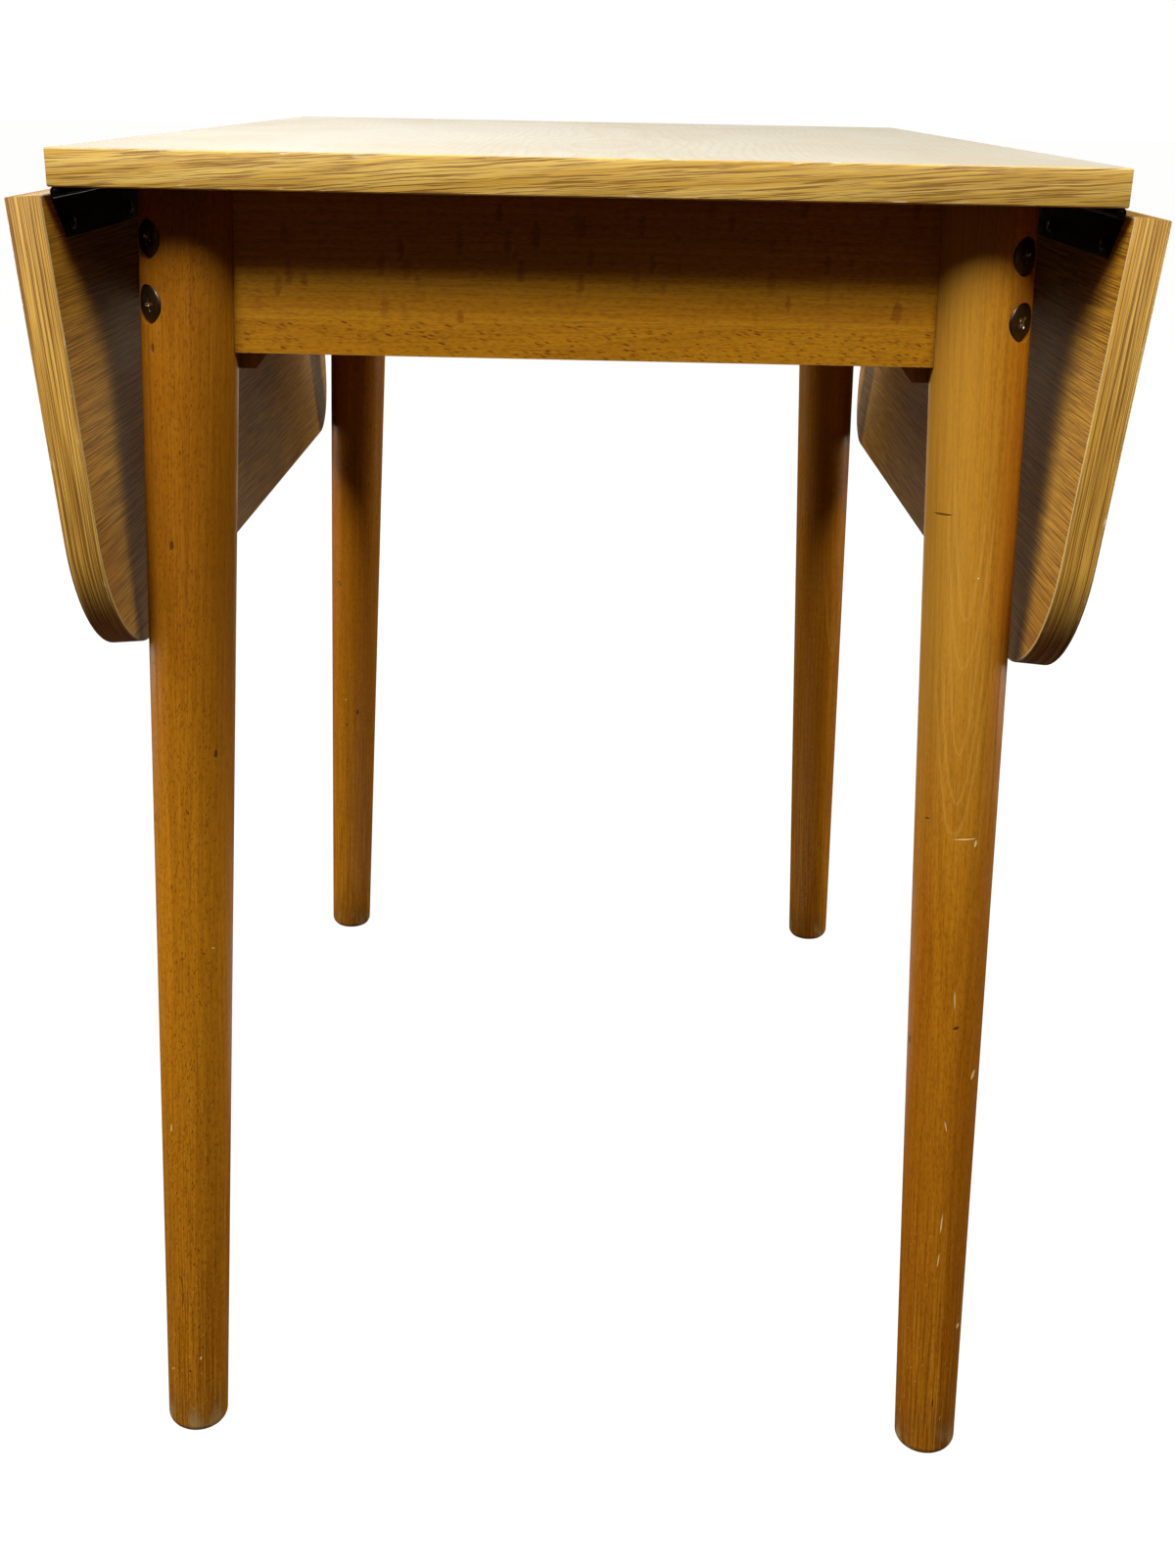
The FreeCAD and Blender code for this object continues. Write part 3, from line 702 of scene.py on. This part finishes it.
chipboard, chip_shader, chip_place = new_material("raw_chipboard")
chips = chip_place.add("TexVoronoi", {"feature": "F1"}, {"Vector": chip_place, "Scale": 420.0}, "Color")
chip_cloud = chip_place.noise((300, 300, 700), 4.0, 4.0)
chip_stops = [(0.0, tone(150, 116, 72)), (0.5, tone(190, 156, 108)), (1.0, tone(216, 188, 142))]
chip_pick = chips.add("SeparateXYZ", values={0: chips})
chip_colour = chips.add("ValToRGB", {"stops": chip_stops}, {"Fac": chip_pick})
lay(chip_shader, chip_colour, chip_cloud * 0.2 + 0.7, chip_cloud, 0.0003)


def edge_band(name, level, thickness_axis, seed, wavy, streaky, arris_gap, tones, lean=0.0):
    """Oak edge band: long streaks that follow the edge, and pale rubbed arrises with a few chips."""
    material, shader, place = new_material(name)
    wood = along_grain(place, level, (0, 1, 0), thickness_axis)
    x, y, z = wood.parts()
    wave = wood.noise((0.016, 0.02, 0.016), seed, 2.0) - 0.5
    flat = wood.add("CombineXYZ", values={0: x, 1: y + wave * wavy + (x + z) * lean, 2: z})
    streaks = flat.noise((0.034, 1.6, 0.034), seed + 1, 2.0).step(0.5, 0.6)
    lines = flat.noise((0.008, 1.7, 0.008), seed + 2, 3.0)
    fine = flat.noise((0.02, 4.6, 0.02), seed + 4, 2.0)
    broad = flat.noise((0.01, 0.22, 0.01), seed + 3, 2.0)
    colour = wood.add("Mix", {"data_type": "RGBA"}, {0: broad.step(0.3, 0.7), 6: tones[0], 7: tones[1]}, 2)
    colour = colour.under(lines.step(0.48, 0.57) * (1.1 - streaky), tones[2])
    colour = colour.under(fine.step(0.5, 0.66) * (1.1 - streaky) * 0.7, tones[2])
    colour = colour.under(streaks * streaky, tones[2])
    level_off = y.math("ABSOLUTE")
    rim = (level_off + wave * 0.5).step(arris_gap - 0.6, arris_gap + 0.1)
    chips = wood.noise((0.09, 0.5, 0.09), seed + 9, 3.0).step(0.64, 0.7) * level_off.step(5.6, 8.4)
    colour = colour.under(rim * 0.7, tone(222, 202, 150))
    colour = colour.under(chips * 0.7, tone(226, 208, 160))
    lay(shader, colour, lines * 0.2 + 0.32 + rim * 0.12, lines * 0.4 - streaks * 0.4, 0.0001)
    shader.inputs["Coat Weight"].default_value = 0.1
    shader.inputs["Coat Roughness"].default_value = 0.3
    return material


top_low, top_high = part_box("top_edge_band")
top_middle = ((top_low.x + top_high.x) / 2, 0, (top_low.z + top_high.z) / 2)
half_board = (top_high.z - top_low.z) / 2 / MM
coat_node("top_core", chipboard)
top_face = oak_sheet("oak_face_top", (0.01, 0, top_high.z), (1, 0, 0), 3.0, OAK_FACE,
                     figure=0.16, streaks=0.22, rough=0.42, gloss=0.06)
coat_node("top_face_laminate", top_face)
top_back = oak_sheet("oak_back_top", (-0.03, 0, top_low.z), (-1, 0, 0), 8.0, OAK_BACK,
                     figure=0.2, streaks=0.6, rough=0.4, gloss=0.3)
coat_node("top_back_laminate", top_back)
top_band_tones = (tone(196, 154, 62), tone(220, 184, 94), tone(118, 74, 22))
top_band = edge_band("oak_band_top", top_middle, (0, 0, 1), 5.0, wavy=3.2, streaky=0.75, arris_gap=half_board,
                     tones=top_band_tones, lean=0.07)
board_from("top_edge_band", 0.2 * MM, top_band, "eased_top_edge_band")


# Brackets: bent zinc-plated angles under the top, one inside each end rail and two inside each side rail,
# each held by a pan-headed screw in either flange.

zinc = metal("zinc_plate", tone(206, 206, 202), tone(156, 156, 152), tone(112, 108, 100),
             rough=0.28, grain=260)
board_from("top_brackets", 0.4 * MM, zinc, "bent_top_brackets")
screw_profile = [(0, 0), (3.2, 0), (3.2, 0.5), (2.9, 1.05), (2.2, 1.45), (1.2, 1.6), (0, 1.65)]
screw_profile = [(radius * MM, height * MM) for radius, height in screw_profile]
pan_screw = cross_head(screw_profile, cross_length=3.6 * MM, cross_width=0.8 * MM, cross_depth=0.9 * MM,
                       steps=24)
bracket_thickness = 2 * MM
bracket_screw_out = 15 * MM
bracket_station = 120 * MM
rail_inner = (185.25 * MM, 307.75 * MM)
bracket_screws = bmesh.new()
bracket_places = [((0, sign * rail_inner[1]), (0, -sign)) for sign in (1, -1)]
bracket_places += [((sign * rail_inner[0], along), (-sign, 0))
                   for sign in (1, -1) for along in (bracket_station, -bracket_station)]
for (x, y), (in_x, in_y) in bracket_places:
    inward = Vector((in_x, in_y, 0))
    corner_at = Vector((x, y, underside))
    top_seat = corner_at + inward * bracket_screw_out - Vector((0, 0, bracket_thickness))
    set_in(bracket_screws, pan_screw, top_seat, (0, 0, -1), x * 40)
    rail_seat = corner_at + inward * bracket_thickness - Vector((0, 0, bracket_screw_out))
    set_in(bracket_screws, pan_screw, rail_seat, inward, y * 50)
piece("top_bracket_screws", bracket_screws, "frame", zinc)


# Loper guides: sawn beech troughs with flanges, screwed up under the top at the front and rear. Each carries
# the inner ends of two lopers, one from either side, in lanes with slots for their stop pins.

guide_screw_x = 55 * MM
guide_flange = 16 * MM
guide_flange_thickness = 10 * MM
guide_screws = bmesh.new()
for end in ("front", "rear"):
    guide = "loper_guide_" + end
    low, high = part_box(guide)
    guide_finish = plain_beech("sawn_" + guide, low, (1, 0, 0), (0, 0, -1), 13.0 + low.y,
                               SAWN_TONES, rough=0.55)
    board_from(guide, 0.8 * MM, guide_finish, "grooved_" + guide)
    for x in (-guide_screw_x, guide_screw_x):
        for y in (low.y + guide_flange / 2, high.y - guide_flange / 2):
            seat = (x, y, underside - guide_flange_thickness)
            set_in(guide_screws, pan_screw, seat, (0, 0, -1), x * 30 + y)
piece("loper_guide_screws", guide_screws, "frame", zinc)


# Lopers: beech bars that slide out through the mortises in the side rails to hold a leaf up, rounded at the
# nose, each with a square stop pin that keeps it in its guide.

for side, sign_x in (("left", -1), ("right", 1)):
    for end in ("front", "rear"):
        loper = "%s_%s_loper" % (side, end)
        low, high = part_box(loper)
        loper_seed = 21.0 + low.x * 9 + low.y * 17
        loper_finish = plain_beech("planed_" + loper, low, (1, 0, 0), (0, -sign_x, 0.4), loper_seed,
                                   SAWN_TONES, rough=0.45)
        board_from(loper, 0.9 * MM, loper_finish, "planed_" + loper)
        pin_finish = plain_beech("split_%s_pin" % loper, low, (0, 0, 1), (1, 1, 0), 27.0 + low.y * 11,
                                 SAWN_TONES, rough=0.5)
        board_from(loper + "_stop_pin", 0.4 * MM, pin_finish, "square_%s_pin" % loper)


# Hinges: long black-bronzed steel hinges under the joints between top and leaves, their plates cut off at a
# slant at the ends, with knuckles rolled round one pin and pan-headed screws along both plates.

bronzed = metal("black_bronze", tone(46, 41, 36), tone(26, 23, 21), tone(16, 14, 13), rough=0.36, grain=180)
rubbed_bronze = metal("rubbed_bronze", tone(206, 188, 152), tone(84, 74, 62), tone(44, 38, 32),
                      rough=0.22, grain=500)
hinge_screw_pitch = 110 * MM
hinge_screw_at = [hinge_screw_pitch * step for step in range(-3, 4)]
hinge_screw_from_pin = 15.5 * MM
hinge_plate_thickness = 1 * MM
for side, sign_x in (("left", -1), ("right", 1)):
    hinge = next(joint for joint in frame["joints"] if joint["name"] == side + "_leaf_hinge")
    pin = Vector(hinge["pos_m"])
    swing = Matrix.Rotation(math.radians(hinge["range_deg"][1]), 4, Vector(hinge["axis"]))
    hang = Matrix.Translation(pin) @ swing.inverted() @ Matrix.Translation(-pin)
    for part in ("_hinge_top_plate", "_hinge_leaf_plate", "_hinge_pin"):
        board_from(side + part, 0.25 * MM, bronzed, "bronzed_" + side + part)
    top_screws = bmesh.new()
    leaf_screws = bmesh.new()
    for y in hinge_screw_at:
        seat = Vector((pin.x - sign_x * hinge_screw_from_pin, y, underside - hinge_plate_thickness))
        set_in(top_screws, pan_screw, seat, (0, 0, -1), y * 31)
        seat = Vector((pin.x + sign_x * hinge_screw_from_pin, y, underside - hinge_plate_thickness))
        set_in(leaf_screws, pan_screw, seat, (0, 0, -1), y * 47)
    bmesh.ops.transform(leaf_screws, matrix=hang, verts=leaf_screws.verts)
    piece(side + "_hinge_top_screws", top_screws, "frame", rubbed_bronze)
    piece(side + "_hinge_leaf_screws", leaf_screws, side + "_leaf", rubbed_bronze)


# Leaves: boards made as the centre top is, with square ends and rounded free corners.
# They hang a little past plumb, so the grain is laid out in the hanging board's own plane.

# The leaves' bands take tones a little darker than the top's band: a painted shade, as the leaves' ends stand
# in more shadow.
leaf_band_shaded_tones = (tone(182, 136, 48), tone(206, 162, 72), tone(100, 60, 14))
for side, sign_x in (("left", -1), ("right", 1)):
    hinge = next(joint for joint in frame["joints"] if joint["name"] == side + "_leaf_hinge")
    hang = Matrix.Rotation(-math.radians(hinge["range_deg"][1]), 3, Vector(hinge["axis"]))
    across = hang @ Vector((sign_x, 0, 0))
    up = hang @ Vector((0, 0, 1))
    low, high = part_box(side + "_leaf_core")
    middle = (low + high) / 2
    leaf = side + "_leaf_"
    coat_node(leaf + "core", chipboard)
    leaf_face = oak_sheet("oak_face_%s_leaf" % side, middle, across * sign_x, 11.0 + sign_x, OAK_FACE,
                          figure=0.16, streaks=0.22, rough=0.42, gloss=0.06)
    coat_node(leaf + "face_laminate", leaf_face)
    leaf_back = oak_sheet("oak_back_%s_leaf" % side, middle, across * -sign_x, 17.0 + sign_x, OAK_BACK,
                          figure=0.08, streaks=0.8, rough=0.4, gloss=0.3)
    coat_node(leaf + "back_laminate", leaf_back)
    leaf_band = edge_band("oak_band_%s_leaf" % side, middle, up, 9.0 + sign_x, wavy=0.8, streaky=0.25,
                          arris_gap=half_board, tones=leaf_band_shaded_tones)
    board_from(leaf + "edge_band", 0.2 * MM, leaf_band, "eased_%sedge_band" % leaf)


# Prop blocks: small sawn beech blocks, two under each leaf, which the lopers' noses come up against. They
# are sawn to shape and glued to the leaf's back.

for side, sign_x in (("left", -1), ("right", 1)):
    blocks = side + "_leaf_prop_blocks"
    block_finish = plain_beech("sawn_" + blocks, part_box(blocks)[0], (0, 1, 0), (sign_x, 0, 0), 31.0 + sign_x,
                               SAWN_TONES, rough=0.55)
    board_from(blocks, 0.9 * MM, block_finish, "wedge_" + blocks)


# Floor, light and camera: a plain pale floor, large soft lights high in front on both sides, weaker ones
# at the rear and the side walls, a little light off the floor, and the camera where the photograph was taken
# from, looking down on the near end.

floor = bpy.data.objects.new("floor", bpy.data.meshes.new("floor"))
floor_shape = bmesh.new()
bmesh.ops.create_grid(floor_shape, x_segments=1, y_segments=1, size=30)
floor_shape.to_mesh(floor.data)
floor_shape.free()
bpy.context.scene.collection.objects.link(floor)
floor.visible_diffuse = False
floor.visible_glossy = False
floor_material, floor_shader, _ = new_material("pale_floor")
floor_shader.inputs["Base Color"].default_value = (0.05, 0.05, 0.05, 1)
floor_shader.inputs["Roughness"].default_value = 1.0
floor_shader.inputs["Emission Color"].default_value = (1, 1, 1, 1)
floor_shader.inputs["Emission Strength"].default_value = 0.98
floor.data.materials.append(floor_material)

world = bpy.data.worlds.new("studio")
bpy.context.scene.world = world
world.use_nodes = True
sky = Shade(world.node_tree, world.node_tree.nodes.new("ShaderNodeTexCoord").outputs["Generated"])
north, zenith = sky.parts()[1:]
low = zenith.step(0.02, -0.12)
backdrop = north.step(0.89, 0.98) * (1 - low) * 0.95 + north.step(0.86, 0.99) * low * 1.2 + 0.03
fill = north.step(-0.1, -0.8) * zenith.step(-0.2, 0.1) * 0.05 + zenith.step(-0.6, -1.0) * 0.3 + 0.03
ray = sky.add("LightPath")
seen = ray.other("Is Camera Ray")
sheen = ray.other("Is Glossy Ray")
strength = seen + (1 - seen) * (sheen * backdrop + (1 - sheen) * fill)
world.node_tree.links.new(strength.socket, world.node_tree.nodes["Background"].inputs["Strength"])
warmth = sky.add("Mix", {"data_type": "RGBA"}, {0: sheen, 6: (1, 0.6, 0.42, 1), 7: (1, 0.76, 0.5, 1)}, 2)
warmth = warmth.under(seen, (1, 1, 1, 1))
world.node_tree.links.new(warmth.socket, world.node_tree.nodes["Background"].inputs["Color"])


def soft_light(name, place, size, watts, aim=(0, -0.35, 0.7)):
    """A round lamp with a wide face, turned towards the near edge of the table if nothing else is given."""
    lamp = bpy.data.lights.new(name, "AREA")
    lamp.shape = "DISK"
    lamp.size = size
    lamp.energy = watts
    stand = bpy.data.objects.new(name, lamp)
    stand.location = place
    stand.rotation_euler = (Vector(aim) - Vector(place)).to_track_quat("-Z", "Y").to_euler()
    stand.visible_camera = False
    bpy.context.scene.collection.objects.link(stand)


soft_light("left_light", (-1.7, -1.95, 3.15), 1.7, 170)
soft_light("right_light", (1.51, -2.15, 3.12), 1.1, 86)
soft_light("rear_light", (-0.7, 2.9, 2.4), 1.6, 32)
soft_light("left_wall", (-2.6, 1.0, 0.75), 1.4, 42, (-0.25, 0.2, 0.5))
soft_light("right_wall", (2.6, 1.0, 0.75), 1.4, 42, (0.25, 0.2, 0.5))
soft_light("floor_bounce", (0, 0.15, 0.01), 0.5, 0.25, (0, 0.2, 1))

camera_place = (0.010615, -1.222015, 0.782932)
yaw = math.radians(1.00)
pitch = math.radians(21.72)
roll = math.radians(1.09)
photo_height = 1601
focal_pixels = 1792.467
level_right = Vector((math.cos(yaw), math.sin(yaw), 0))
level_ahead = Vector((-math.sin(yaw), math.cos(yaw), 0))
ahead = math.cos(pitch) * level_ahead - math.sin(pitch) * Vector((0, 0, 1))
upright = math.sin(pitch) * level_ahead + math.cos(pitch) * Vector((0, 0, 1))
right = math.cos(roll) * level_right + math.sin(roll) * upright
up = -math.sin(roll) * level_right + math.cos(roll) * upright
lens = bpy.data.cameras.new("camera")
lens.lens = focal_pixels * lens.sensor_width / photo_height
lens.shift_x = 0.0144
lens.shift_y = -0.0031
camera = bpy.data.objects.new("camera", lens)
turned = Matrix((right, up, -ahead)).transposed().to_4x4()
camera.matrix_world = Matrix.Translation(camera_place) @ turned
bpy.context.scene.collection.objects.link(camera)
bpy.context.scene.camera = camera
bpy.context.scene.view_settings.view_transform = "Standard"
